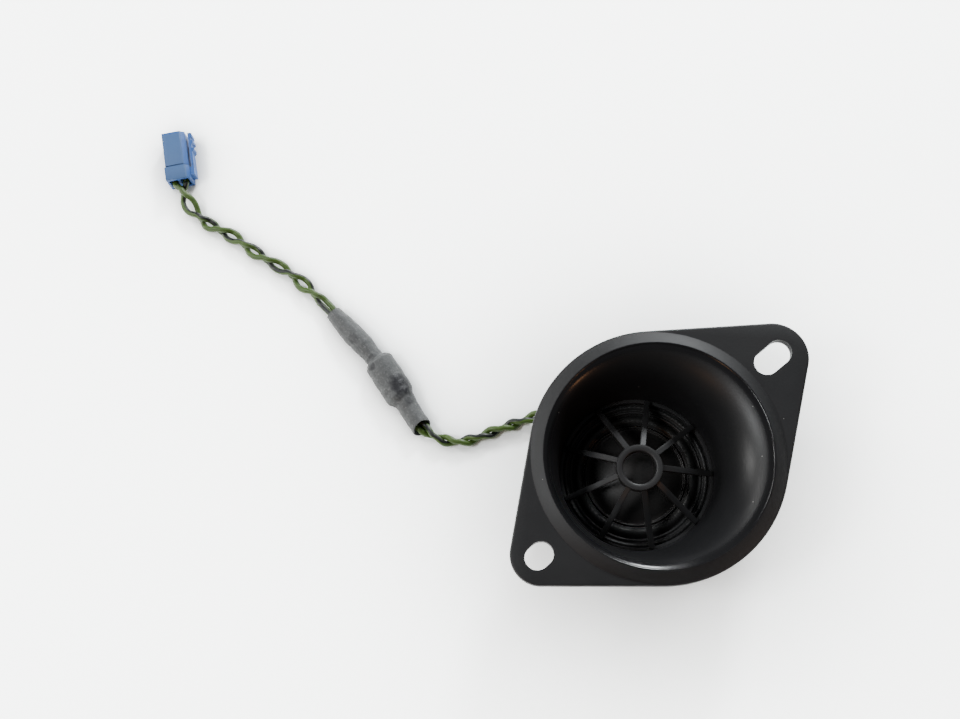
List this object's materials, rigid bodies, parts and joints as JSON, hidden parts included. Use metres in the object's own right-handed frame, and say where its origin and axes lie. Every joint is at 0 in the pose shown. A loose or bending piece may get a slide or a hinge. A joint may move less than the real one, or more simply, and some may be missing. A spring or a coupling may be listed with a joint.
{
  "type": "car tweeter",
  "caption": "Small dome tweeter in an oval-flanged round waveguide with a spoked guard, a twisted lead, an inline capacitor under heat-shrink and a blue plug.",
  "frame": {"origin": "on the surface that the flat rear cover stands on, below the middle of the flange", "axes": "+Z is the way the tweeter fires, +Y runs along the flange towards its long slot, and the lead leaves towards -X"},
  "size_m": [0.1555, 0.0773, 0.0263],
  "materials": {
    "housing_plastic": "satin, fine moulded grain",
    "guard_plastic": "satin moulded black",
    "clamp_plastic": "semi-gloss black",
    "dome_cloth": "coated silk, semi-gloss",
    "surround_cloth": "coated cloth, ribbed",
    "former_film": "amber polyimide film",
    "coil_wire": "enamelled copper",
    "zinc_steel": "zinc plated",
    "magnet_nickel": "nickel plated",
    "felt": "grey felt",
    "chassis_plastic": "plain moulded black",
    "cover_plastic": "fine moulded texture",
    "board_phenolic": "brown phenolic laminate",
    "tinned_brass": "tinned",
    "solder": "dull solder",
    "braid_copper": "fine bare braid",
    "wire_green": "soft PVC",
    "shrink_grey": "scuffed grey heat-shrink",
    "can_aluminium": "drawn can",
    "jacket_film": "shrunk film",
    "seal_rubber": "matt rubber",
    "plug_blue": "satin moulded blue",
    "contact_brass": "tin flashed"
  },
  "bodies": {
    "housing": {"horn_housing": "housing_plastic", "dome_guard": "guard_plastic", "surround_clamp_ring": "clamp_plastic", "surround": "surround_cloth", "yoke_cup": "zinc_steel", "magnet": "magnet_nickel", "pole_plate": "zinc_steel", "damping_felt": "felt", "driver_chassis": "chassis_plastic", "rear_cover": "cover_plastic", "terminal_board": "board_phenolic", "terminal_plus": "tinned_brass", "terminal_minus": "tinned_brass", "terminal_rivets": "tinned_brass", "solder_joints": "solder", "coil_braids": "braid_copper", "lead_tails": "wire_green", "lead_clip": "clamp_plastic", "lead_in_clip": "wire_green", "lead_near": "wire_green", "lead_far": "wire_green", "heat_shrink": "shrink_grey", "capacitor_can": "can_aluminium", "capacitor_jacket": "jacket_film", "capacitor_seal": "seal_rubber", "capacitor_leads": "tinned_brass", "splice_crimps": "tinned_brass", "plug_housing": "plug_blue", "contact_plus": "contact_brass", "contact_minus": "contact_brass", "wire_ends": "wire_green"},
    "diaphragm": {"dome": "dome_cloth", "coil_former": "former_film", "voice_coil": "coil_wire"},
    "latch": {"plug_latch": "plug_blue"},
    "lock": {"plug_lock": "plug_blue"}
  },
  "joints": [
    {"name": "dome_travel", "type": "slide", "parent": "housing", "child": "diaphragm", "axis": [0, 0, 1], "range_m": [-0.0003, 0.0003], "stiffness_N_per_m": 400, "deforming": ["surround", "coil_braids"]},
    {"name": "latch_flex", "type": "hinge", "parent": "housing", "child": "latch", "pos_m": [-0.11989, -0.0329, 0.0024], "axis": [0, 0, 1], "range_deg": [0, 3], "stiffness_Nm_per_rad": 0.02},
    {"name": "lock_slide", "type": "slide", "parent": "housing", "child": "lock", "axis": [-0.8729, 0.4879, 0], "range_m": [0, 0.001]}
  ]
}
